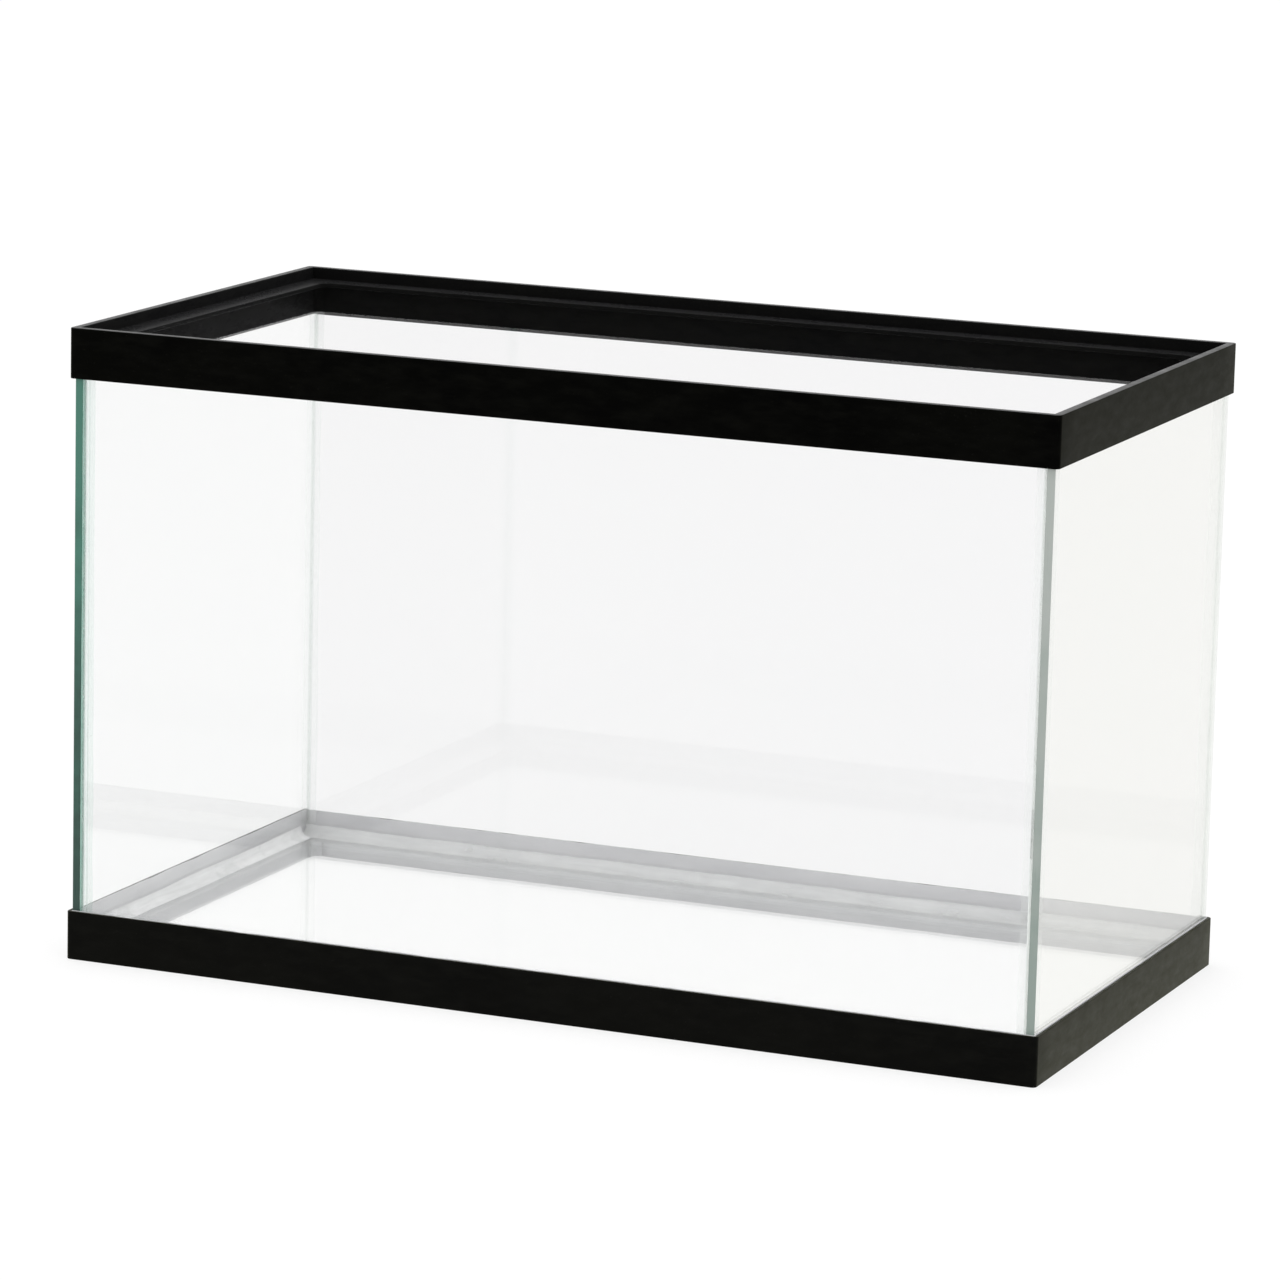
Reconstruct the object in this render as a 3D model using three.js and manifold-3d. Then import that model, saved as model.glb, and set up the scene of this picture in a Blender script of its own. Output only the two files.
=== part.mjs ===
// Standard rectangular glass aquarium, 10 US gallons (38 litres), open at the top.
// Five panes of float glass are joined with silicone. A moulded plastic frame is bonded round the
// base and another round the mouth.
// Millimetres. +X to the right, +Y to the rear, +Z up. The origin is the centre of the footprint.

import * as THREE from 'three';
import { mergeVertices } from 'three/addons/utils/BufferGeometryUtils.js';
import Module from 'manifold-3d';

const wasm = await Module();
wasm.setup();

// ---------------------------------------------------------------- driving dimensions

const LENGTH = 514.4; // over the frames, 20 1/4 in
const DEPTH = 266.7; // over the frames, 10 1/2 in
const HEIGHT = 319.1; // over the frames, 12 9/16 in

const GLASS = 4.0; // thickness of every pane
const FRAME_WALL = 1.8; // outer skirt of both mouldings
const SKIRT_BED = 0.6; // room for silicone between a skirt and the glass
const JOINT = 1.0; // room for silicone between two panes
const GAP = 0.1; // clearance that neighbouring solids keep
const SEAL_LEG = 6; // legs of the concave silicone beads inside the tank

const CORNER_RADIUS = 2.5; // outer upright corners of both frames
const TIGHT_RADIUS = 0.3; // upright corners that follow the square corners of the glass
const MOUTH_RADIUS = 5; // inside corners of the mouth, the lip and the base opening
const CORNER_STEPS = 6; // flats in each rounded corner

const BASE_SKIRT = 24.6; // height of the base frame
const BASE_REACH = 16; // from the frame's outer face to the inner edge of its ledge
const BASE_LEDGE_TOP = 6.9;
const BASE_LEDGE = 2.2; // ledge thickness
const BASE_LIP = 2.0; // inner lip, which stands on the table like the skirt does
const BASE_RIB = 1.6;
const BASE_RIB_PITCH = 47;
const BASE_RIB_CLEAR = 0.8; // ribs stop this far above the table
const BASE_BED_TOP = 25.0; // the silicone is squeezed up just past the top of the skirt
const BASE_APRON = 0.6; // thickness of the silicone that is squeezed out over the inner lip
const BASE_APRON_BOTTOM = 0.2; // it stops this far above the table

const TOP_SKIRT = 25.2; // height of the mouth frame
const RECESS = 6.0; // depth of the lid ledge below the rim
const RIM = 4.5; // width of the rim above the ledge
const LID_LEDGE = 2.2; // ledge thickness
const LID_REACH = 16.5; // from the frame's outer face to the mouth
const TOP_LIP = 1.6; // inner lip, which holds the glass from inside
const TOP_LIP_DROP = 14.5; // below the ledge
const TOP_LIP_CLEARANCE = 0.8; // between the lip and the glass
const TOP_BED_BOTTOM = 303; // how low the silicone comes down in the mouth frame

// ---------------------------------------------------------------- dimensions worked out from them

const BED = 0.5; // silicone above or below the edge of the glass
const WELD = 0.4; // how far the members of one moulding run into each other before they are joined
const GLASS_INSET = FRAME_WALL + SKIRT_BED; // outer face of the glass, from the frames' outer face
const INNER_INSET = GLASS_INSET + GLASS; // inner face of the glass
const GLASS_LENGTH = LENGTH - 2 * GLASS_INSET;
const GLASS_DEPTH = DEPTH - 2 * GLASS_INSET;
const INNER_LENGTH = LENGTH - 2 * INNER_INSET;
const INNER_DEPTH = DEPTH - 2 * INNER_INSET;
const LEDGE_BOTTOM = HEIGHT - RECESS - LID_LEDGE; // underside of the lid ledge
const GLASS_BASE = BASE_LEDGE_TOP + BED + 2 * GAP;
const GLASS_TOP = LEDGE_BOTTOM - BED - 2 * GAP;
const GLASS_HEIGHT = GLASS_TOP - GLASS_BASE;
const FLOOR_TOP = GLASS_BASE + GLASS; // upper face of the bottom pane
const LIP_INSET = INNER_INSET + TOP_LIP_CLEARANCE;
const LIP_BOTTOM = LEDGE_BOTTOM - TOP_LIP_DROP;

// ---------------------------------------------------------------- materials

const glass = new THREE.MeshStandardMaterial({
  color: 0xe4f2ec, roughness: 0.03, metalness: 0, transparent: true, opacity: 0.3,
});
const blackPlastic = new THREE.MeshStandardMaterial({ color: 0x0b0b0c, roughness: 0.42, metalness: 0 });
const clearSilicone = new THREE.MeshStandardMaterial({ color: 0xd5dcda, roughness: 0.35, metalness: 0 });
const greySilicone = new THREE.MeshStandardMaterial({ color: 0xbfc1c2, roughness: 0.6, metalness: 0 });

// ---------------------------------------------------------------- solids

function solidOf(geometry) {
  const bare = geometry.clone();
  bare.deleteAttribute('normal');
  bare.deleteAttribute('uv');
  const welded = mergeVertices(bare, 1e-4);
  return new wasm.Manifold(new wasm.Mesh({
    numProp: 3,
    vertProperties: welded.attributes.position.array,
    triVerts: new Uint32Array(welded.index.array),
  }));
}

// One mesh from several that run into each other.
function joined(geometries) {
  const solid = geometries.map(solidOf).reduce((whole, piece) => whole.add(piece));
  const mesh = solid.getMesh();
  const geometry = new THREE.BufferGeometry();
  geometry.setAttribute('position', new THREE.BufferAttribute(mesh.vertProperties, 3));
  geometry.setIndex(new THREE.BufferAttribute(mesh.triVerts, 1));
  geometry.computeVertexNormals();
  return geometry;
}

// Adds a rounded rectangle to a Shape or a Path. It lies inset mm inside the frames' outline.
function outline(path, inset, radius) {
  const x = LENGTH / 2 - inset;
  const y = DEPTH / 2 - inset;
  path.moveTo(-x + radius, -y);
  path.lineTo(x - radius, -y);
  path.absarc(x - radius, -y + radius, radius, -Math.PI / 2, 0, false);
  path.lineTo(x, y - radius);
  path.absarc(x - radius, y - radius, radius, 0, Math.PI / 2, false);
  path.lineTo(-x + radius, y);
  path.absarc(-x + radius, y - radius, radius, Math.PI / 2, Math.PI, false);
  path.lineTo(-x, -y + radius);
  path.absarc(-x + radius, -y + radius, radius, Math.PI, 1.5 * Math.PI, false);
  return path;
}

// The corner radius that keeps a wall even when it follows the frames' outer corner.
function cornerRadius(inset) {
  return Math.max(CORNER_RADIUS - inset, TIGHT_RADIUS);
}

// A rectangular band between two insets and two heights. Its corners follow the frames' own corner
// unless radii are given.
function band([outer, inner], [bottom, top], innerRadius, outerRadius) {
  const shape = outline(new THREE.Shape(), outer, outerRadius ?? cornerRadius(outer));
  shape.holes.push(outline(new THREE.Path(), inner, innerRadius ?? cornerRadius(inner)));
  return new THREE.ExtrudeGeometry(shape, {
    depth: top - bottom,
    bevelEnabled: false,
    curveSegments: CORNER_STEPS,
  }).translate(0, 0, bottom);
}

// Thin webs that cross a frame's section, evenly spaced along all four sides.
function ribs([outer, inner], [bottom, top], thickness, pitch) {
  const webs = [];
  const sides = [
    { length: LENGTH - 2 * inner, reach: DEPTH / 2, turn: 0 },
    { length: DEPTH - 2 * inner, reach: LENGTH / 2, turn: Math.PI / 2 },
  ];
  for (const { length, reach, turn } of sides) {
    const spaces = Math.round(length / pitch);
    for (let i = 1; i < spaces; i += 1) {
      const along = length * (i / spaces - 0.5);
      for (const side of [-1, 1]) {
        webs.push(
          new THREE.BoxGeometry(thickness, inner - outer, top - bottom)
            .translate(along, side * (reach - (outer + inner) / 2), (bottom + top) / 2)
            .rotateZ(turn),
        );
      }
    }
  }
  return webs;
}

// ---------------------------------------------------------------- mouldings

function baseFrame() {
  const ledgeBottom = BASE_LEDGE_TOP - BASE_LEDGE;
  const lipInset = BASE_REACH - BASE_LIP;
  const ribSpan = [FRAME_WALL - WELD, lipInset + WELD];
  return joined([
    band([0, FRAME_WALL], [0, BASE_SKIRT]),
    band([FRAME_WALL - WELD, BASE_REACH], [ledgeBottom, BASE_LEDGE_TOP], MOUTH_RADIUS),
    band([lipInset, BASE_REACH], [0, ledgeBottom + WELD], MOUTH_RADIUS, MOUTH_RADIUS + BASE_LIP),
    ...ribs(ribSpan, [BASE_RIB_CLEAR, ledgeBottom + WELD], BASE_RIB, BASE_RIB_PITCH),
  ]);
}

function topFrame() {
  const lip = [LIP_INSET, LIP_INSET + TOP_LIP];
  return joined([
    band([0, FRAME_WALL], [HEIGHT - TOP_SKIRT, HEIGHT]),
    band([WELD, RIM], [LEDGE_BOTTOM, HEIGHT]),
    band([FRAME_WALL - WELD, LID_REACH], [LEDGE_BOTTOM, HEIGHT - RECESS], MOUTH_RADIUS),
    band(lip, [LIP_BOTTOM, LEDGE_BOTTOM + WELD], MOUTH_RADIUS, MOUTH_RADIUS + TOP_LIP),
  ]);
}

// ---------------------------------------------------------------- silicone

// Each frame is bedded on one unbroken ring. The base ring lies on the ledge, rises behind the skirt,
// and hangs over the ledge's inner edge as a thin apron.
function baseBedding() {
  const layer = [BASE_LEDGE_TOP + GAP, GLASS_BASE - GAP];
  const apron = [BASE_REACH + GAP, BASE_REACH + GAP + BASE_APRON];
  return joined([
    band([FRAME_WALL + GAP, apron[1]], layer, MOUTH_RADIUS),
    band([FRAME_WALL + GAP, GLASS_INSET - GAP], [layer[0], BASE_BED_TOP]),
    band(apron, [BASE_APRON_BOTTOM, layer[1]], MOUTH_RADIUS, MOUTH_RADIUS),
  ]);
}

function topBedding() {
  const layer = [GLASS_TOP + GAP, LEDGE_BOTTOM - GAP];
  return joined([
    band([FRAME_WALL + GAP, INNER_INSET], layer),
    band([FRAME_WALL + GAP, GLASS_INSET - GAP], [TOP_BED_BOTTOM, layer[1]]),
  ]);
}

// A tooled bead that fills an inside corner: two straight legs and a concave face. It rises along +Z.
function bead(length) {
  const section = new THREE.Shape();
  section.moveTo(0, 0);
  section.lineTo(SEAL_LEG, 0);
  section.absarc(SEAL_LEG, SEAL_LEG, SEAL_LEG, -Math.PI / 2, -Math.PI, true);
  return new THREE.ExtrudeGeometry(section, { depth: length, bevelEnabled: false, curveSegments: 8 });
}

// ---------------------------------------------------------------- assembly

const tank = new THREE.Group();

function place(parent, name, geometry, material, x, y, z) {
  const mesh = new THREE.Mesh(geometry, material);
  mesh.name = name;
  mesh.position.set(x, y, z);
  parent.add(mesh);
}

const LEFT_RIGHT = [['left', -1], ['right', 1]];
const FRONT_REAR = [['front', -1], ['rear', 1]];
const wallMiddle = (GLASS_BASE + GLASS_TOP) / 2;
const floorMiddle = (GLASS_BASE + FLOOR_TOP) / 2;
const film = JOINT - 2 * GAP; // thickness of the silicone between two panes

place(tank, 'bottom_frame', baseFrame(), blackPlastic, 0, 0, 0);
place(tank, 'top_frame', topFrame(), blackPlastic, 0, 0, 0);
place(tank, 'bottom_frame_bedding', baseBedding(), greySilicone, 0, 0, 0);
place(tank, 'top_frame_bedding', topBedding(), greySilicone, 0, 0, 0);

// The side panes cover the ends of the front and rear panes. All four stand round the bottom pane.
for (const [name, side] of FRONT_REAR) {
  const pane = new THREE.BoxGeometry(INNER_LENGTH - 2 * JOINT, GLASS, GLASS_HEIGHT);
  place(tank, `${name}_pane`, pane, glass, 0, side * (GLASS_DEPTH - GLASS) / 2, wallMiddle);
}
for (const [name, side] of LEFT_RIGHT) {
  const pane = new THREE.BoxGeometry(GLASS, GLASS_DEPTH, GLASS_HEIGHT);
  place(tank, `${name}_pane`, pane, glass, side * (GLASS_LENGTH - GLASS) / 2, 0, wallMiddle);
}
const floorPane = new THREE.BoxGeometry(INNER_LENGTH - 2 * JOINT, INNER_DEPTH - 2 * JOINT, GLASS);
place(tank, 'bottom_pane', floorPane, glass, 0, 0, floorMiddle);

// Structural joints: the silicone between two panes.
for (const [yName, ySide] of FRONT_REAR) {
  for (const [xName, xSide] of LEFT_RIGHT) {
    const x = xSide * (INNER_LENGTH - JOINT) / 2;
    const upright = new THREE.BoxGeometry(film, GLASS, GLASS_HEIGHT);
    const edgeY = ySide * (GLASS_DEPTH - GLASS) / 2;
    place(tank, `corner_joint_${yName}_${xName}`, upright, clearSilicone, x, edgeY, wallMiddle);
  }
  const y = ySide * (INNER_DEPTH - JOINT) / 2;
  const long = new THREE.BoxGeometry(INNER_LENGTH - 2 * GAP, film, GLASS);
  place(tank, `bottom_joint_${yName}`, long, clearSilicone, 0, y, floorMiddle);
}
for (const [name, side] of LEFT_RIGHT) {
  const x = side * (INNER_LENGTH - JOINT) / 2;
  const short = new THREE.BoxGeometry(film, INNER_DEPTH - 2 * JOINT, GLASS);
  place(tank, `bottom_joint_${name}`, short, clearSilicone, x, 0, floorMiddle);
}

// Upright beads in the inside corners. Each is the front left one, turned a quarter further.
const uprightFrom = FLOOR_TOP + SEAL_LEG + 2 * GAP;
const uprights = [
  ['front_left', -1, -1],
  ['front_right', 1, -1],
  ['rear_right', 1, 1],
  ['rear_left', -1, 1],
];
uprights.forEach(([name, xSide, ySide], quarter) => {
  const x = xSide * (INNER_LENGTH / 2 - GAP);
  const y = ySide * (INNER_DEPTH / 2 - GAP);
  const seal = bead(LIP_BOTTOM - GAP - uprightFrom).rotateZ(quarter * Math.PI / 2);
  place(tank, `corner_seal_${name}`, seal, clearSilicone, x, y, uprightFrom);
});

// Beads round the bottom pane. The front one lies along +X, and each of the others is turned a
// quarter further. The left and right ones end at the front and rear ones.
const alongX = new THREE.Matrix4().makeBasis(
  new THREE.Vector3(0, 1, 0), new THREE.Vector3(0, 0, 1), new THREE.Vector3(1, 0, 0),
);
const longRun = [INNER_LENGTH - 2 * GAP, INNER_DEPTH];
const shortRun = [INNER_DEPTH - 2 * (SEAL_LEG + 2 * GAP), INNER_LENGTH];
const runs = [['front', longRun], ['right', shortRun], ['rear', longRun], ['left', shortRun]];
runs.forEach(([name, [length, across]], quarter) => {
  const side = new THREE.Group();
  side.rotation.z = quarter * Math.PI / 2;
  tank.add(side);
  const seal = bead(length).applyMatrix4(alongX);
  const y = -across / 2 + GAP;
  place(side, `bottom_seal_${name}`, seal, clearSilicone, -length / 2, y, FLOOR_TOP + GAP);
});

export default tank;
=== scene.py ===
import math

import bpy
import numpy as np
from mathutils import Matrix, Vector, noise


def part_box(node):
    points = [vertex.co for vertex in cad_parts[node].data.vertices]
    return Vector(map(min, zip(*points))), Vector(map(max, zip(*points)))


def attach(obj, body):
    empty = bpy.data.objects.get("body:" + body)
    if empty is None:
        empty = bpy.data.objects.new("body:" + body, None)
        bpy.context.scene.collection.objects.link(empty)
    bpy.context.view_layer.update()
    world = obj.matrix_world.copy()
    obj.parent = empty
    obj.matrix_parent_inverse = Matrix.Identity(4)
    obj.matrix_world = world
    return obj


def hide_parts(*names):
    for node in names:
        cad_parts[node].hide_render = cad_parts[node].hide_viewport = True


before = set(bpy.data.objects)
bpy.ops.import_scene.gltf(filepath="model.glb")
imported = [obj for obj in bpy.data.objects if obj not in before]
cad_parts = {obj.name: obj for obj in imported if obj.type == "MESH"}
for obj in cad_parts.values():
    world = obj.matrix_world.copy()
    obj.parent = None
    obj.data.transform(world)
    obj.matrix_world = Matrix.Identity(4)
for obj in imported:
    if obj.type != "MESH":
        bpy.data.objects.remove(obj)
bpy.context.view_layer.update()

# The open-topped glass aquarium: five glass panes, their silicone, and two moulded frames.
# Everything is in metres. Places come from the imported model, and the section sizes below are its own.

MM = 0.001

# ---------------------------------------------------------------- sizes

TOP_LOW, TOP_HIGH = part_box("top_frame")
BASE_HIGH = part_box("bottom_frame")[1]
FRONT_LOW, FRONT_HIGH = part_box("front_pane")
RIGHT_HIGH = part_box("right_pane")[1]
FLOOR_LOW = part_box("bottom_pane")[0]
BED_LOW, BED_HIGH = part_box("bottom_frame_bedding")
TOP_BED_LOW, TOP_BED_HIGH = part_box("top_frame_bedding")

HALF_LENGTH = TOP_HIGH.x
HALF_DEPTH = TOP_HIGH.y
GAP = 0.1 * MM
FRAME_WALL = HALF_LENGTH - BED_HIGH.x - GAP
GLASS = FRONT_HIGH.y - FRONT_LOW.y
GLASS_INSET = HALF_LENGTH - RIGHT_HIGH.x
INNER_INSET = GLASS_INSET + GLASS

CORNER_RADIUS = 2.5 * MM
TIGHT_RADIUS = 0.3 * MM
MOUTH_RADIUS = 5.0 * MM

BASE_REACH = 16.0 * MM
BED = 0.5 * MM
BASE_LEDGE_TOP = FLOOR_LOW.z - BED - 2 * GAP
BASE_LEDGE = 2.2 * MM
BASE_LIP = 2.0 * MM
BASE_RIB = 1.6 * MM
BASE_RIB_PITCH = 47.0 * MM
BASE_RIB_CLEAR = 0.8 * MM
APRON = 0.6 * MM
APRON_BOTTOM = BED_LOW.z

RECESS = 6.0 * MM
RIM = 4.5 * MM
LID_LEDGE = 2.2 * MM
LID_REACH = 16.5 * MM
TOP_LIP = 1.6 * MM
TOP_LIP_DROP = 14.5 * MM
TOP_LIP_CLEARANCE = 0.8 * MM

EDGE = 0.45 * MM  # rounding of the mouldings' edges
CORNER_SHARE = 0.45  # the most of a short side of a section that one rounded corner takes
ARRIS = 0.35 * MM  # chamfer ground on the edges of the glass
BASE_BED_EDGE = 0.12 * MM  # rounding of the bedding's edges
TOP_BED_EDGE = 0.1 * MM
CORNER_RUN = 0.01  # how long a corner counts as, where an edge wanders along the outline
RIB_DRAFT = 0.25 * MM  # how far a rib's flank leans
BEAD_PITCH = 6 * MM  # from ring to ring along a bead
BEAD_ARC = 9  # steps across a bead's drawn face
BEAD_SHARP = 40  # degrees, over which a bead's edge stays crisp
FILM_PITCH = 8 * MM

# The first seed of each wandering edge of the bedding. Each side of the outline adds one.
BASE_BED_SEED = 2
APRON_SEED = 8
TOP_BED_SEED = 21

# Material slots of the top frame, and of a pane.
OUTSIDE, RIM_TOP, INSIDE = range(3)
# The two front ends of a pane: the left one painted as shaded, the right one painted as lit.
FACE, SHADED_GREEN_END, LIT_GREY_END, CLEAR_EDGE, LEVEL_EDGE = range(5)

# ---------------------------------------------------------------- meshes


def mesh_object(name, points, faces, materials, face_material=None, smooth=True):
    """A mesh object in the scene. face_material gives each face's material slot."""
    mesh = bpy.data.meshes.new(name)
    mesh.from_pydata([tuple(p) for p in points], [], faces)
    for material in materials:
        mesh.materials.append(material)
    if face_material is not None:
        mesh.polygons.foreach_set("material_index", face_material)
    mesh.polygons.foreach_set("use_smooth", [smooth] * len(mesh.polygons))
    mesh.validate()
    mesh.update()
    piece = bpy.data.objects.new(name, mesh)
    bpy.context.scene.collection.objects.link(piece)
    return piece


def stand_for(piece, node):
    """Puts a piece on the one body, in place of its CAD node."""
    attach(piece, "root")
    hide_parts(node)
    return piece


def set_attribute(piece, name, values):
    attribute = piece.data.attributes.new(name, "FLOAT", "POINT")
    attribute.data.foreach_set("value", np.asarray(values, np.float32))


def wobble(along, seed, scale, size):
    """A smooth random offset that depends on a place along a run."""
    return size * noise.noise(Vector((along / scale, seed * 7.31, seed * 1.7)))


def sharp_by_angle(piece, degrees):
    """Keeps edges crisp that turn by more than an angle."""
    mesh = piece.data
    mesh.set_sharp_from_angle(angle=math.radians(degrees))


# ---------------------------------------------------------------- rings that follow the frames' outline


def filleted(section, size, steps=3, larger=None):
    """A closed section of (inset, height, corner radius) points with its corners rounded. larger gives
    the size at some corners, by their place in the section.
    Returns the points, and for each how near it is to the middle of an outward corner, from 0 to 1."""
    points, rounds = [], []
    count = len(section)
    for i, here in enumerate(section):
        here = np.array(here)
        before = np.array(section[i - 1])
        after = np.array(section[(i + 1) % count])
        back = before - here
        on = after - here
        outward = back[0] * on[1] - back[1] * on[0] > 0
        reach_back = np.hypot(back[0], back[1])
        reach_on = np.hypot(on[0], on[1])
        cut = min((larger or {}).get(i, size), CORNER_SHARE * reach_back, CORNER_SHARE * reach_on)
        start = here + back * cut / reach_back
        end = here + on * cut / reach_on
        for step in range(steps + 1):
            t = step / steps
            points.append((1 - t) ** 2 * start + 2 * t * (1 - t) * here + t ** 2 * end)
            rounds.append(1 - abs(2 * t - 1) if outward else 0.0)
    return np.array(points), np.array(rounds)


def side_stations(half, ribs, rib_width, pitch):
    """Places along one straight side. A rib is a pair of close stations on each flank."""
    flank = rib_width / 2
    foot = flank + RIB_DRAFT
    places = {}
    for rib in ribs:
        for offset, inside in ((-foot, 0), (-flank, 1), (flank, 1), (foot, 0)):
            places[round(rib + offset, 7)] = inside
    steps = max(2, round(2 * half / pitch))
    for i in range(steps + 1):
        place = -half + 2 * half * i / steps
        if all(abs(place - rib) > rib_width for rib in ribs):
            places[round(place, 7)] = 0
    return sorted(places.items())


def rib_places(half_side, inset, pitch):
    """Evenly spaced places for the ribs of one side."""
    length = 2 * (half_side - inset)
    spaces = round(length / pitch)
    return [length * (i / spaces - 0.5) for i in range(1, spaces)]


def stations(reach, ribs=None, rib_width=0.0, pitch=12 * MM, corner_steps=8):
    """Every place round the outline, as (kind, value, quarter, rib). The straight sides end where the
    largest corner begins."""
    path = []
    for quarter in range(4):
        along = HALF_LENGTH if quarter % 2 == 0 else HALF_DEPTH
        places = ribs(along) if ribs else []
        for place, inside in side_stations(along - reach, places, rib_width, pitch):
            path.append(("side", place, quarter, inside))
        for step in range(corner_steps + 1):
            path.append(("corner", step / corner_steps, quarter, 0))
    return path


def on_outline(station, inset, radius):
    """The point of the outline at an inset. Quarter 0 is the front side and the front right corner."""
    kind, value, quarter, _ = station
    along = HALF_LENGTH if quarter % 2 == 0 else HALF_DEPTH
    across = HALF_DEPTH if quarter % 2 == 0 else HALF_LENGTH
    if kind == "side":
        x, y = value, -(across - inset)
    else:
        angle = -math.pi / 2 + value * math.pi / 2
        x = along - inset - radius + radius * math.cos(angle)
        y = -(across - inset - radius) + radius * math.sin(angle)
    for _ in range(quarter):
        x, y = -y, x
    return x, y


def place_along(station):
    """How far along its side or corner a station is."""
    return station[1] * CORNER_RUN if station[0] == "corner" else station[1]


def ring(name, section, rounds, path, materials, shape=None, look=None):
    """Sweeps a closed section round the outline. shape may move each section point at each station, and
    look gives the material slot of the face that starts at a section point."""
    points, edge = [], []
    for station in path:
        for index, (inset, height, radius) in enumerate(section):
            if shape is not None:
                inset, height, radius = shape(station, index, inset, height, radius)
            x, y = on_outline(station, inset, radius)
            points.append((x, y, height))
            edge.append(rounds[index])
    wide, long = len(section), len(path)
    faces, kinds = [], []
    for i in range(long):
        for j in range(wide):
            k = (i + 1) % long
            m = (j + 1) % wide
            faces.append((i * wide + j, i * wide + m, k * wide + m, k * wide + j))
            kinds.append(look(section[j]) if look else 0)
    piece = mesh_object(name, points, faces, materials, kinds)
    set_attribute(piece, "edge", edge)
    return piece


def outer_radius(inset):
    """The corner radius of an outline that lies an inset inside the outer one."""
    return max(CORNER_RADIUS - inset, TIGHT_RADIUS)


# ---------------------------------------------------------------- mouldings


def top_frame_piece(outside, rim, inside):
    """The moulding round the mouth: a skirt, a rim, a recessed ledge for a lid, and an inner lip."""
    top = TOP_HIGH.z
    skirt = TOP_LOW.z
    ledge = top - RECESS
    under = ledge - LID_LEDGE
    lip_out = INNER_INSET + TOP_LIP_CLEARANCE
    lip_in = lip_out + TOP_LIP
    lip_low = under - TOP_LIP_DROP
    lip_radius = MOUTH_RADIUS + TOP_LIP
    section = [
        (0.0, skirt, outer_radius(0)),
        (0.0, top, outer_radius(0)),
        (RIM, top, outer_radius(RIM)),
        (RIM, ledge, outer_radius(RIM)),
        (LID_REACH, ledge, MOUTH_RADIUS),
        (LID_REACH, under, MOUTH_RADIUS),
        (lip_in, under, MOUTH_RADIUS),
        (lip_in, lip_low, MOUTH_RADIUS),
        (lip_out, lip_low, lip_radius),
        (lip_out, under, lip_radius),
        (FRAME_WALL, under, outer_radius(FRAME_WALL)),
        (FRAME_WALL, skirt, outer_radius(FRAME_WALL)),
    ]
    points, rounds = filleted(section, EDGE)
    path = stations(LID_REACH + MOUTH_RADIUS)

    def look(point):
        if point[0] > RIM - EDGE / 2:
            return INSIDE
        return RIM_TOP if point[0] > EDGE / 2 and point[1] > top - EDGE else OUTSIDE

    looks = [outside, rim, inside]
    return ring("top_frame_moulding", points[::-1], rounds[::-1], path, looks, look=look)


def bottom_frame_piece(material):
    """The moulding round the base: a skirt, a ledge for the glass with ribs below, and an inner lip."""
    top = BASE_HIGH.z
    ledge = BASE_LEDGE_TOP
    under = ledge - BASE_LEDGE
    lip_out = BASE_REACH - BASE_LIP
    section = [
        (0.0, 0.0, outer_radius(0)),
        (0.0, top, outer_radius(0)),
        (FRAME_WALL, top, outer_radius(FRAME_WALL)),
        (FRAME_WALL, ledge, outer_radius(FRAME_WALL)),
        (BASE_REACH, ledge, MOUTH_RADIUS),
        (BASE_REACH, 0.0, MOUTH_RADIUS),
        (lip_out, 0.0, MOUTH_RADIUS + BASE_LIP),
        (lip_out, under, MOUTH_RADIUS + BASE_LIP),
        (FRAME_WALL, under, outer_radius(FRAME_WALL)),
        (FRAME_WALL, 0.0, outer_radius(FRAME_WALL)),
    ]
    points, rounds = filleted(section, EDGE)

    def ribbed(station, index, inset, height, radius):
        between = FRAME_WALL - EDGE / 4 < inset < lip_out + EDGE / 4
        if station[3] and between and under - 1.2 * EDGE < height < under + EDGE / 4:
            height = BASE_RIB_CLEAR + (height - under) / 4
        return inset, height, radius

    path = stations(
        BASE_REACH + MOUTH_RADIUS, lambda half: rib_places(half, lip_out, BASE_RIB_PITCH), BASE_RIB,
    )
    return ring("bottom_frame_moulding", points[::-1], rounds[::-1], path, [material], ribbed)


# ---------------------------------------------------------------- glass


def edge_look(middle):
    """The material slot of a cut edge of an upright pane. The front ends of the side panes are painted with
    the green seen along the glass, darker at the left as painted shade and lighter at the right as
    painted light, and the other edges are nearly clear."""
    if abs(middle.z - (FRONT_LOW.z + FRONT_HIGH.z) / 2) > MM:
        return LEVEL_EDGE
    if middle.y > 0 or abs(middle.x) < HALF_LENGTH - INNER_INSET:
        return CLEAR_EDGE
    return SHADED_GREEN_END if middle.x < 0 else LIT_GREY_END


def bedded_look(middle):
    """The bottom pane's cut edges are all bedded in silicone."""
    return LEVEL_EDGE


def pane_piece(name, low, high, materials, look=edge_look):
    """A pane with its cut edges ground: big faces take the first material, and look gives each edge's."""
    size = high - low
    thin = min(range(3), key=lambda axis: size[axis])
    wide = [axis for axis in range(3) if axis != thin]
    near, far = low[thin], high[thin]
    points = []
    for place, inset in ((near, ARRIS), (near + ARRIS, 0.0), (far - ARRIS, 0.0), (far, ARRIS)):
        for u, v in ((0, 0), (1, 0), (1, 1), (0, 1)):
            p = Vector((0, 0, 0))
            p[thin] = place
            p[wide[0]] = (high if u else low)[wide[0]] + (-inset if u else inset)
            p[wide[1]] = (high if v else low)[wide[1]] + (-inset if v else inset)
            points.append(p)
    faces = [(3, 2, 1, 0), (12, 13, 14, 15)]
    kinds = [FACE, FACE]
    for layer in range(3):
        for i in range(4):
            j = (i + 1) % 4
            faces.append((layer * 4 + i, layer * 4 + j, layer * 4 + 4 + j, layer * 4 + 4 + i))
            kinds.append(look(sum((points[k] for k in faces[-1]), Vector()) / 4))
    piece = mesh_object(name, points, faces, materials, kinds, smooth=False)
    if thin == 1:
        piece.data.flip_normals()
    return piece


# ---------------------------------------------------------------- silicone


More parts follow.
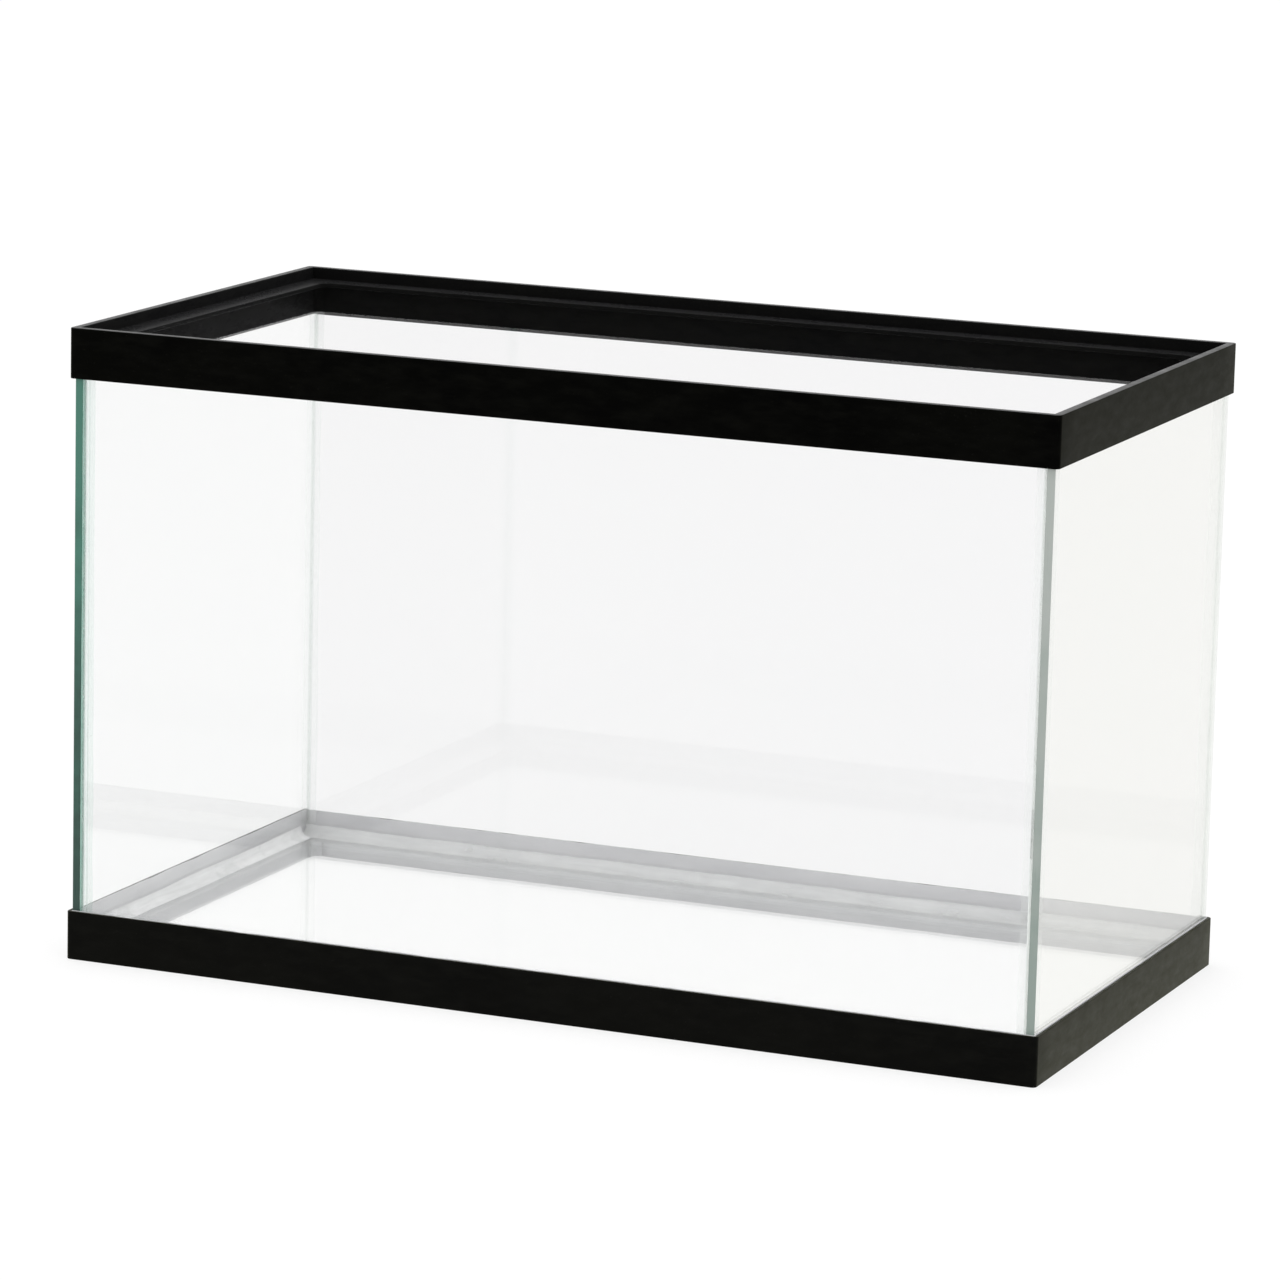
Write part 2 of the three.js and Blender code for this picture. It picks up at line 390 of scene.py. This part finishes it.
def bead_piece(name, start, along, leg_a, leg_b, length, leg, seed, material):
    """A tooled bead: its hand-drawn face is slightly uneven along its run."""
    rings = max(8, round(length / BEAD_PITCH))
    points, faces = [], []
    for i in range(rings + 1):
        place = length * i / rings
        grown = leg + wobble(place, seed, 45 * MM, 0.5 * MM) + wobble(place, seed + 3, 9 * MM, 0.12 * MM)
        leg_1 = min(leg, grown + wobble(place, seed + 5, 20 * MM, 0.25 * MM) - 0.3 * MM)
        leg_2 = min(leg, grown + wobble(place, seed + 9, 20 * MM, 0.25 * MM) - 0.3 * MM)
        centre = start + along * place
        points.append(centre)
        for k in range(BEAD_ARC + 1):
            angle = k / BEAD_ARC * math.pi / 2
            a = leg_1 * (1 - math.sin(angle))
            b = leg_2 * (1 - math.cos(angle))
            points.append(centre + leg_a * a + leg_b * b)
    wide = BEAD_ARC + 2
    for i in range(rings):
        for k in range(wide):
            m = (k + 1) % wide
            faces.append((i * wide + k, i * wide + m, (i + 1) * wide + m, (i + 1) * wide + k))
    faces.append(tuple(range(wide))[::-1])
    faces.append(tuple(rings * wide + k for k in range(wide)))
    if along.dot(leg_a.cross(leg_b)) < 0:
        faces = [face[::-1] for face in faces]
    piece = mesh_object(name, points, faces, [material])
    sharp_by_angle(piece, BEAD_SHARP)
    return piece


def film_piece(name, low, high, seed, material):
    """A thin joint between two panes. Its free sides wander, as squeezed silicone does."""
    size = high - low
    run = max(range(3), key=lambda axis: size[axis])
    cross = [axis for axis in range(3) if axis != run]
    rings = max(6, round(size[run] / FILM_PITCH))
    points, faces = [], []
    for i in range(rings + 1):
        place = size[run] * i / rings
        pinch = [0.12 * MM + abs(wobble(place, seed + side, 16 * MM, 0.22 * MM)) for side in range(2)]
        wide = cross[0] if size[cross[0]] > size[cross[1]] else cross[1]
        for u, v in ((0, 0), (1, 0), (1, 1), (0, 1)):
            p = Vector((0, 0, 0))
            p[run] = low[run] + place
            p[cross[0]] = (high if u else low)[cross[0]]
            p[cross[1]] = (high if v else low)[cross[1]]
            side = u if wide == cross[0] else v
            p[wide] += -pinch[1] if side else pinch[0]
            points.append(p)
    for i in range(rings):
        for k in range(4):
            m = (k + 1) % 4
            faces.append((i * 4 + k, i * 4 + m, (i + 1) * 4 + m, (i + 1) * 4 + k))
    faces.append((3, 2, 1, 0))
    faces.append(tuple(rings * 4 + k for k in range(4)))
    if run == 1:
        faces = [face[::-1] for face in faces]
    return mesh_object(name, points, faces, [material], smooth=False)


def base_bedding_piece(material):
    """The silicone that the glass stands in, squeezed up behind the skirt."""
    wall = FRAME_WALL + GAP
    low = BASE_LEDGE_TOP + GAP
    layer = FLOOR_LOW.z - GAP
    top = BED_HIGH.z
    inner = GLASS_INSET - GAP
    apron = BASE_REACH + GAP
    section = [
        (wall, low, outer_radius(wall)),
        (wall, top, outer_radius(wall)),
        (inner, top, TIGHT_RADIUS),
        (inner, layer, TIGHT_RADIUS),
        (apron + APRON, layer, MOUTH_RADIUS),
        (apron + APRON, APRON_BOTTOM, MOUTH_RADIUS),
        (apron, APRON_BOTTOM, MOUTH_RADIUS),
        (apron, low, MOUTH_RADIUS),
    ]
    # The corner that sits in the frame's own rounded corner is rounded as much as that is.
    points, rounds = filleted(section, BASE_BED_EDGE, steps=2, larger={0: EDGE})

    def squeezed(station, index, inset, height, radius):
        place = place_along(station)
        if height > layer + MM:
            height -= abs(wobble(place, station[2] + BASE_BED_SEED, 14 * MM, 0.6 * MM))
        if height < low - MM:
            height += abs(wobble(place, station[2] + APRON_SEED, 18 * MM, 0.5 * MM))
        return inset, height, radius

    path = stations(BASE_REACH + MOUTH_RADIUS, pitch=5 * MM)
    return ring("bottom_bedding_ring", points[::-1], rounds[::-1], path, [material], squeezed)


def top_bedding_piece(material):
    """The silicone between the top frame and the glass, over the panes' upper edges."""
    wall = FRAME_WALL + GAP
    layer = FRONT_HIGH.z + GAP
    high = TOP_BED_HIGH.z
    low = TOP_BED_LOW.z
    inner = GLASS_INSET - GAP
    reach = INNER_INSET
    section = [
        (wall, low, outer_radius(wall)),
        (wall, high, outer_radius(wall)),
        (reach, high, TIGHT_RADIUS),
        (reach, layer, TIGHT_RADIUS),
        (inner, layer, TIGHT_RADIUS),
        (inner, low, TIGHT_RADIUS),
    ]
    # As in the base, the corner under the frame's ledge is rounded as much as the frame's own.
    points, rounds = filleted(section, TOP_BED_EDGE, steps=2, larger={1: EDGE})

    def squeezed(station, index, inset, height, radius):
        place = place_along(station)
        if height < layer - MM:
            height += abs(wobble(place, station[2] + TOP_BED_SEED, 14 * MM, 0.9 * MM))
        return inset, height, radius

    path = stations(INNER_INSET + TIGHT_RADIUS, pitch=6 * MM)
    return ring("top_bedding_ring", points[::-1], rounds[::-1], path, [material], squeezed)


# ---------------------------------------------------------------- materials

GLASS_IOR = 1.52
PLASTIC_IOR = 1.5
SILICONE_IOR = 1.41

CLEAR = (1.0, 1.0, 1.0)
# Painted sheen colours: olive for warm light falling from the right, cool for the highlight on the recessed
# ledge.
PAINTED_WARM_SHEEN = (0.98, 1.0, 0.25)
PAINTED_COOL_SHEEN = (0.95, 0.95, 1.0)
MILKY = (0.95, 0.955, 0.955)
PAINTED_EDGE_GREEN = (0.66, 0.86, 0.79)

# Scales that draw a noise out along the way a bead was drawn.
ALONG_X = (0.08, 1.0, 1.0)
ALONG_Y = (1.0, 0.08, 1.0)
UPRIGHT = (1.0, 1.0, 0.08)

# The body, its lighter patches and its flow marks.
PLASTIC_SHADES = ((0.0004, 0.0004, 0.0005), (0.0015, 0.0015, 0.0012), (0.0026, 0.0026, 0.0022))


class Shader:
    """A node tree being wired up."""

    def __init__(self, name):
        self.material = bpy.data.materials.new(name)
        self.material.use_nodes = True
        self.tree = self.material.node_tree
        self.tree.nodes.clear()
        self.output = self.tree.nodes.new("ShaderNodeOutputMaterial")
        self.place = self.tree.nodes.new("ShaderNodeTexCoord").outputs["Object"]

    def node(self, kind, inputs=None, **settings):
        made = self.tree.nodes.new(kind)
        for key, value in settings.items():
            setattr(made, key, value)
        for key, value in (inputs or {}).items():
            self.feed(made.inputs[key], value)
        return made

    def feed(self, socket, value):
        if isinstance(value, bpy.types.NodeSocket):
            self.tree.links.new(value, socket)
        elif isinstance(value, (tuple, list)) and len(value) == 3 and socket.type == "RGBA":
            socket.default_value = (*value, 1.0)
        else:
            socket.default_value = value

    def stretched(self, scale):
        return self.node("ShaderNodeMapping", {"Vector": self.place, "Scale": scale}).outputs["Vector"]

    def noise(self, scale, detail=3.0, roughness=0.5, vector=None):
        return self.node("ShaderNodeTexNoise", {
            "Vector": vector or self.place, "Scale": scale, "Detail": detail, "Roughness": roughness,
        }).outputs["Fac"]

    def spread(self, value, low, high, to_low=0.0, to_high=1.0):
        return self.node("ShaderNodeMapRange", {
            "Value": value, "From Min": low, "From Max": high, "To Min": to_low, "To Max": to_high,
        }).outputs["Result"]

    def mixed(self, share, first, second):
        made = self.node("ShaderNodeMix", data_type="RGBA")
        self.feed(made.inputs[0], share)
        self.feed(made.inputs[6], first)
        self.feed(made.inputs[7], second)
        return made.outputs[2]

    def math(self, operation, first, second):
        made = self.node("ShaderNodeMath", operation=operation)
        self.feed(made.inputs[0], first)
        self.feed(made.inputs[1], second)
        return made.outputs[0]

    def bump(self, height, distance, strength=1.0, normal=None):
        inputs = {"Height": height, "Distance": distance, "Strength": strength}
        if normal is not None:
            inputs["Normal"] = normal
        return self.node("ShaderNodeBump", inputs).outputs["Normal"]

    def attribute(self, name):
        return self.node("ShaderNodeAttribute", attribute_name=name).outputs["Fac"]

    def done(self, shader):
        self.tree.links.new(shader, self.output.inputs["Surface"])
        return self.material

    def lit_through(self, shader):
        """Lets the light of lamps and of matt surfaces pass a see-through surface unbent."""
        paths = self.node("ShaderNodeLightPath").outputs
        clear = self.node("ShaderNodeBsdfTransparent", {"Color": CLEAR}).outputs[0]
        for ray in ("Is Shadow Ray", "Is Diffuse Ray"):
            shader = self.node("ShaderNodeMixShader", {0: paths[ray], 1: shader, 2: clear}).outputs[0]
        return shader


def plastic_material(name, gloss, painted_sheen, tint, smooth=0.30, painted_lift=0.0):
    """Moulded plastic with flow marks, a fine spark-eroded grain, dust specks and rubbed edges.
    The sheen weight is a painted sheen in the colour tint, standing in for tinted light, and the lift
    paints its body lighter, as painted light."""
    s = Shader(name)
    cloud = s.noise(18, 4)
    grain = s.noise(2600, 2, 0.6)
    swirl = s.noise(70, 5, 0.6, s.stretched((1, 1, 3)))
    worn = s.math("MULTIPLY", s.attribute("edge"), s.spread(s.noise(160, 4, 0.7), 0.45, 0.7))
    dust = s.spread(s.noise(1300, 2, 0.5), 0.68, 0.76, 0.0, s.spread(cloud, 0.4, 0.65, 0.02, 0.3))
    dark, light, streak = (tuple(painted_lift + part for part in shade) for shade in PLASTIC_SHADES)
    body = s.mixed(s.spread(cloud, 0.3, 0.7), dark, light)
    flow = s.mixed(s.spread(swirl, 0.42, 0.72), body, streak)
    dusty = s.mixed(dust, flow, (0.030, 0.030, 0.028))
    colour = s.mixed(s.math("MULTIPLY", worn, 0.4), dusty, (0.026, 0.026, 0.024))
    rough = s.math("ADD", s.spread(swirl, 0.3, 0.7, smooth, smooth + 0.14), s.math("MULTIPLY", worn, 0.15))
    soft = s.bump(swirl, 0.00010)
    normal = s.bump(grain, 0.000012, normal=soft)
    shader = s.node("ShaderNodeBsdfPrincipled", {
        "Base Color": colour, "Roughness": rough, "IOR": PLASTIC_IOR, "Specular IOR Level": gloss,
        "Sheen Weight": painted_sheen, "Sheen Roughness": 0.4, "Sheen Tint": tint, "Normal": normal,
    })
    return s.done(shader.outputs[0])


def glass_material(name, tint):
    """Clear glass with a faint waviness and a few smears."""
    s = Shader(name)
    drawn = s.noise(9, 2, 0.4)
    smear = s.spread(s.noise(26, 5, 0.65), 0.5, 0.8, 0.0, 0.02)
    shader = s.node("ShaderNodeBsdfPrincipled", {
        "Base Color": tint, "Roughness": smear, "IOR": GLASS_IOR, "Transmission Weight": 1.0,
        "Normal": s.bump(drawn, 0.00003),
    }).outputs[0]
    return s.done(s.lit_through(shader))


def glass_edge_material(name, low, high):
    """A cut and ground edge of a pane. Its green is the glass's own colour, seen along the pane; its
    brightness is painted light and shade, darker near the base and lighter towards the mouth."""
    s = Shader(name)
    streak = s.noise(900, 3, 0.6, s.stretched((1, 1, 0.05)))
    height = s.node("ShaderNodeSeparateXYZ", {"Vector": s.place}).outputs["Z"]
    # Painted shade: darker near the base, lighter towards the mouth.
    rise = s.spread(height, FRONT_LOW.z, FRONT_HIGH.z, -0.2, 1.2)
    patch = s.spread(s.noise(30, 4, 0.6), 0.3, 0.7, -0.35, 0.35)
    shader = s.node("ShaderNodeBsdfPrincipled", {
        "Base Color": s.mixed(s.math("ADD", rise, patch), low, high), "IOR": GLASS_IOR,
        "Roughness": s.spread(streak, 0.3, 0.7, 0.25, 0.45), "Normal": s.bump(streak, 0.00002),
    }).outputs[0]
    return s.done(shader)


def bead_material(name, colour, opacity, stretch):
    """Milky clear silicone. Its streaks run along the way that the bead was drawn with a finger."""
    s = Shader(name)
    drawn = s.noise(300, 3, 0.5, s.stretched(stretch))
    haze = s.noise(40, 4, 0.6)
    streaks = s.spread(drawn, 0.3, 0.7, 0.84, 1.10)
    cloud = s.math("MULTIPLY", streaks, s.spread(haze, 0.3, 0.7, 0.88, 1.08))
    body = s.node("ShaderNodeBsdfPrincipled", {
        "Base Color": colour, "Roughness": s.spread(haze, 0.3, 0.7, 0.22, 0.38), "IOR": SILICONE_IOR,
        "Normal": s.bump(drawn, 0.00003),
    }).outputs[0]
    clear = s.node("ShaderNodeBsdfTransparent", {"Color": (0.985, 0.99, 0.987)}).outputs[0]
    share = s.math("MULTIPLY", cloud, opacity)
    bead = s.node("ShaderNodeMixShader", {0: share, 1: clear, 2: body}).outputs[0]
    return s.done(s.lit_through(bead))


def film_material(name, colour, opacity):
    """The silicone between two panes. Its opacity says how much of what is behind it is hidden."""
    s = Shader(name)
    cloud = s.spread(s.noise(60, 4, 0.6), 0.3, 0.7, opacity * 0.75, min(1.0, opacity * 1.25))
    ripple = s.noise(240, 3, 0.5)
    body = s.node("ShaderNodeBsdfPrincipled", {
        "Base Color": colour, "Roughness": s.spread(ripple, 0.3, 0.7, 0.22, 0.38), "IOR": SILICONE_IOR,
        "Normal": s.bump(ripple, 0.00005),
    }).outputs[0]
    clear = s.node("ShaderNodeBsdfTransparent", {"Color": (0.97, 0.98, 0.975)}).outputs[0]
    return s.done(s.node("ShaderNodeMixShader", {0: cloud, 1: clear, 2: body}).outputs[0])


def bedding_material():
    """Pale silicone, streaked where it was squeezed along, and darker in its lowest 4 mm, under the glass.
    """
    s = Shader("pale grey bedding silicone")
    streak = s.noise(55, 5, 0.6, s.stretched((0.35, 0.35, 2.4)))
    blot = s.noise(160, 3, 0.6)
    height = s.node("ShaderNodeSeparateXYZ", {"Vector": s.place}).outputs["Z"]
    rising = s.spread(height, FLOOR_LOW.z, FLOOR_LOW.z + 4 * MM)
    patch = s.spread(streak, 0.3, 0.7)
    low_tone = s.mixed(patch, (0.42, 0.425, 0.435), (0.51, 0.515, 0.525))
    high_tone = s.mixed(patch, (0.55, 0.557, 0.573), (0.66, 0.665, 0.678))
    shade = s.mixed(rising, low_tone, high_tone)
    colour = s.mixed(s.spread(blot, 0.62, 0.75, 0.0, 0.35), shade, (0.45, 0.455, 0.47))
    shader = s.node("ShaderNodeBsdfPrincipled", {
        "Base Color": colour, "Roughness": s.spread(blot, 0.3, 0.7, 0.45, 0.6), "IOR": SILICONE_IOR,
        "Normal": s.bump(blot, 0.00006),
    })
    return s.done(shader.outputs[0])


FLOOR_GLOW = 0.765


def floor_material():
    """A plain pale floor with a little light of its own, which keeps it even."""
    s = Shader("plain white floor")
    tone = s.mixed(s.noise(3, 2), (0.235, 0.235, 0.235), (0.245, 0.245, 0.245))
    shader = s.node("ShaderNodeBsdfPrincipled", {
        "Base Color": tone, "Roughness": 0.9, "Specular IOR Level": 0.0,
        "Emission Color": CLEAR, "Emission Strength": FLOOR_GLOW,
    })
    return s.done(shader.outputs[0])


# ---------------------------------------------------------------- studio

AZIMUTH = math.radians(22.84)
ELEVATION = math.radians(11.24)
ROLL = math.radians(1.41)
CAMERA_DISTANCE = 5.921 * 2 * HALF_LENGTH
CAMERA_RIGHT = -0.0020 * 2 * HALF_LENGTH
CAMERA_UP = 0.3153 * 2 * HALF_LENGTH
LENS = 169.72
SENSOR = 36.0

FLOOR_RADIUS = 14.0
FLOOR_SIDES = 96
FLOOR_DROP = 0.1 * MM
SKY_STRENGTH = 1.04
SOFTBOX_PLACE = Vector((-0.6, 0.4, 2.6))
SOFTBOX_SIZE = (2.4, 1.6)
SOFTBOX_POWER = 10.0


def make_camera():
    level_reach = math.cos(ELEVATION)
    back = Vector((math.sin(AZIMUTH) * level_reach, -math.cos(AZIMUTH) * level_reach, math.sin(ELEVATION)))
    level = Vector((0, 0, 1)).cross(back).normalized()
    rise = back.cross(level)
    right = math.cos(ROLL) * level + math.sin(ROLL) * rise
    up = math.cos(ROLL) * rise - math.sin(ROLL) * level
    data = bpy.data.cameras.new("camera")
    data.lens = LENS
    data.sensor_width = SENSOR
    data.clip_start = 0.1
    data.clip_end = 60.0
    camera = bpy.data.objects.new("camera", data)
    bpy.context.scene.collection.objects.link(camera)
    place = back * CAMERA_DISTANCE + right * CAMERA_RIGHT + up * CAMERA_UP
    turn = Matrix((right, up, back)).transposed().to_4x4()
    camera.matrix_world = Matrix.Translation(place) @ turn
    bpy.context.scene.camera = camera


def make_floor():
    angles = [2 * math.pi * i / FLOOR_SIDES for i in range(FLOOR_SIDES)]
    points = [(FLOOR_RADIUS * math.cos(angle), FLOOR_RADIUS * math.sin(angle), 0) for angle in angles]
    face = tuple(range(FLOOR_SIDES))
    floor = mesh_object("studio_floor", points, [face], [floor_material()], smooth=False)
    floor.location.z = -FLOOR_DROP


def make_light():
    world = bpy.data.worlds.new("studio")
    bpy.context.scene.world = world
    world.use_nodes = True
    background = world.node_tree.nodes["Background"]
    background.inputs["Color"].default_value = (*CLEAR, 1.0)
    background.inputs["Strength"].default_value = SKY_STRENGTH
    data = bpy.data.lights.new("softbox", "AREA")
    data.shape = "RECTANGLE"
    data.size, data.size_y = SOFTBOX_SIZE
    data.energy = SOFTBOX_POWER
    softbox = bpy.data.objects.new("softbox", data)
    softbox.location = SOFTBOX_PLACE
    softbox.rotation_mode = "QUATERNION"
    softbox.rotation_quaternion = SOFTBOX_PLACE.to_track_quat("Z", "Y")
    bpy.context.scene.collection.objects.link(softbox)
    bpy.context.scene.view_settings.view_transform = "Standard"


# ---------------------------------------------------------------- assembly


# Each pane's tint, though all are the same glass: the rear pane darker as painted shade, the right pane
# warmer as painted warm light, and the front and bottom panes clearer, which brightens what is seen through
# them as painted light.
PANE_TINTS_WITH_PAINTED_LIGHT = {
    "front": (0.990, 0.993, 0.992),
    "rear": (0.884, 0.881, 0.885),
    "left": (0.930, 0.932, 0.930),
    "right": (0.948, 0.950, 0.918),
    "bottom": (0.982, 0.985, 0.980),
}

# The colour and the opacity of the silicone in each upright joint. It is the same silicone in all four: its
# colours are painted light and shade, dark green at the front left and pale grey elsewhere.
JOINT_PAINTED_LOOKS = {
    "front_left": ((0.24, 0.46, 0.38), 0.62),
    "front_right": ((0.76, 0.78, 0.75), 0.25),
    "rear_left": ((0.80, 0.82, 0.81), 0.08),
    "rear_right": ((0.70, 0.72, 0.71), 0.20),
}

# Which way is inward, along x and along y, from each corner and from each side.
CORNERS = {"front_left": (1, 1), "front_right": (-1, 1), "rear_left": (1, -1), "rear_right": (-1, -1)}
SIDES = {"front": (0, 1, 0), "rear": (0, -1, 0), "left": (1, 0, 0), "right": (-1, 0, 0)}

# The first seed of each kind of silicone piece, and the step from one piece to the next.
BOTTOM_FILM_SEED = 50
FILM_SEED_STEP = 11
CORNER_BEAD_SEED = 100
BOTTOM_BEAD_SEED = 200
BEAD_SEED_STEP = 13


def seal_materials():
    return {
        "upright": bead_material("clear silicone upright bead", MILKY, 0.13, UPRIGHT),
        # The front left bead is tinted with painted green light from the glass edge behind it.
        "green": bead_material("clear silicone with painted edge green", PAINTED_EDGE_GREEN, 0.13, UPRIGHT),
        "long": bead_material("clear silicone long bead", MILKY, 0.31, ALONG_X),
        "short": bead_material("clear silicone short bead", MILKY, 0.50, ALONG_Y),
    }


def edge_materials():
    """The looks of a pane's cut edges, in the order of their slots."""
    return [
        # The same ground edge twice: darker at the left front end as painted shade, lighter at the right
        # front end as painted light.
        glass_edge_material("ground glass edge green, painted shade", (0.009, 0.045, 0.032), (0.040, 0.165, 0.118)),
        glass_edge_material("ground glass edge grey green, painted light", (0.25, 0.305, 0.275), (0.38, 0.41, 0.385)),
        film_material("glass edge bonded", (0.50, 0.55, 0.52), 0.22),
        film_material("glass edge bedded", (0.84, 0.85, 0.85), 0.30),
    ]


def add_frames():
    # Four copies of one black plastic. The olive sheen on the mouth and base is painted warm light from the
    # right, the base's extra gloss paints its lighter front, the rim's high gloss paints the highlight line
    # along its top, and the recess has a painted lighter body with a cool sheen that paints the highlight
    # on its ledge.
    mouth = plastic_material("satin black plastic mouth", 0.011, 0.025, PAINTED_WARM_SHEEN)
    rim = plastic_material("satin black plastic rim", 0.14, 0.02, CLEAR)
    recess = plastic_material("satin black plastic recess", 0.008, 0.05, PAINTED_COOL_SHEEN, 0.22, 0.0035)
    base = plastic_material("satin black plastic base", 0.040, 0.07, PAINTED_WARM_SHEEN)
    stand_for(top_frame_piece(mouth, rim, recess), "top_frame")
    stand_for(bottom_frame_piece(base), "bottom_frame")


def add_bedding():
    bedding = bedding_material()
    stand_for(base_bedding_piece(bedding), "bottom_frame_bedding")
    stand_for(top_bedding_piece(bedding), "top_frame_bedding")


def add_panes():
    edges = edge_materials()
    for side, tint in PANE_TINTS_WITH_PAINTED_LIGHT.items():
        low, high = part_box(side + "_pane")
        looks = [glass_material("clear float glass " + side, tint)] + edges
        look = bedded_look if side == "bottom" else edge_look
        stand_for(pane_piece(side + "_glass", low, high, looks, look), side + "_pane")


def add_joints(seals):
    for index, (corner, (colour, opacity)) in enumerate(JOINT_PAINTED_LOOKS.items()):
        low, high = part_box("corner_joint_" + corner)
        material = film_material("joint silicone " + corner, colour, opacity)
        piece = film_piece("corner_film_" + corner, low, high, index * FILM_SEED_STEP, material)
        stand_for(piece, "corner_joint_" + corner)
    for index, side in enumerate(SIDES):
        low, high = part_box("bottom_joint_" + side)
        material = seals["long" if side in ("front", "rear") else "short"]
        seed = BOTTOM_FILM_SEED + index * FILM_SEED_STEP
        piece = film_piece("bottom_film_" + side, low, high, seed, material)
        stand_for(piece, "bottom_joint_" + side)


def add_corner_beads(seals):
    for index, (corner, (sx, sy)) in enumerate(CORNERS.items()):
        low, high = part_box("corner_seal_" + corner)
        start = Vector((low.x if sx > 0 else high.x, low.y if sy > 0 else high.y, low.z))
        piece = bead_piece(
            "corner_bead_" + corner, start, Vector((0, 0, 1)), Vector((sx, 0, 0)), Vector((0, sy, 0)),
            high.z - low.z, high.x - low.x, CORNER_BEAD_SEED + index * BEAD_SEED_STEP,
            seals["green" if corner == "front_left" else "upright"],
        )
        stand_for(piece, "corner_seal_" + corner)


def add_bottom_beads(seals):
    for index, (side, direction) in enumerate(SIDES.items()):
        low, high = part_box("bottom_seal_" + side)
        inward = Vector(direction)
        along = Vector((1, 0, 0)) if inward.y else Vector((0, 1, 0))
        start = Vector((low.x if inward.x >= 0 else high.x, low.y if inward.y >= 0 else high.y, low.z))
        piece = bead_piece(
            "bottom_bead_" + side, start, along, inward, Vector((0, 0, 1)),
            (high - low).dot(along), high.z - low.z, BOTTOM_BEAD_SEED + index * BEAD_SEED_STEP,
            seals["long" if inward.y else "short"],
        )
        stand_for(piece, "bottom_seal_" + side)


make_camera()
make_floor()
make_light()
add_frames()
add_bedding()
add_panes()
seal_looks = seal_materials()
add_joints(seal_looks)
add_corner_beads(seal_looks)
add_bottom_beads(seal_looks)
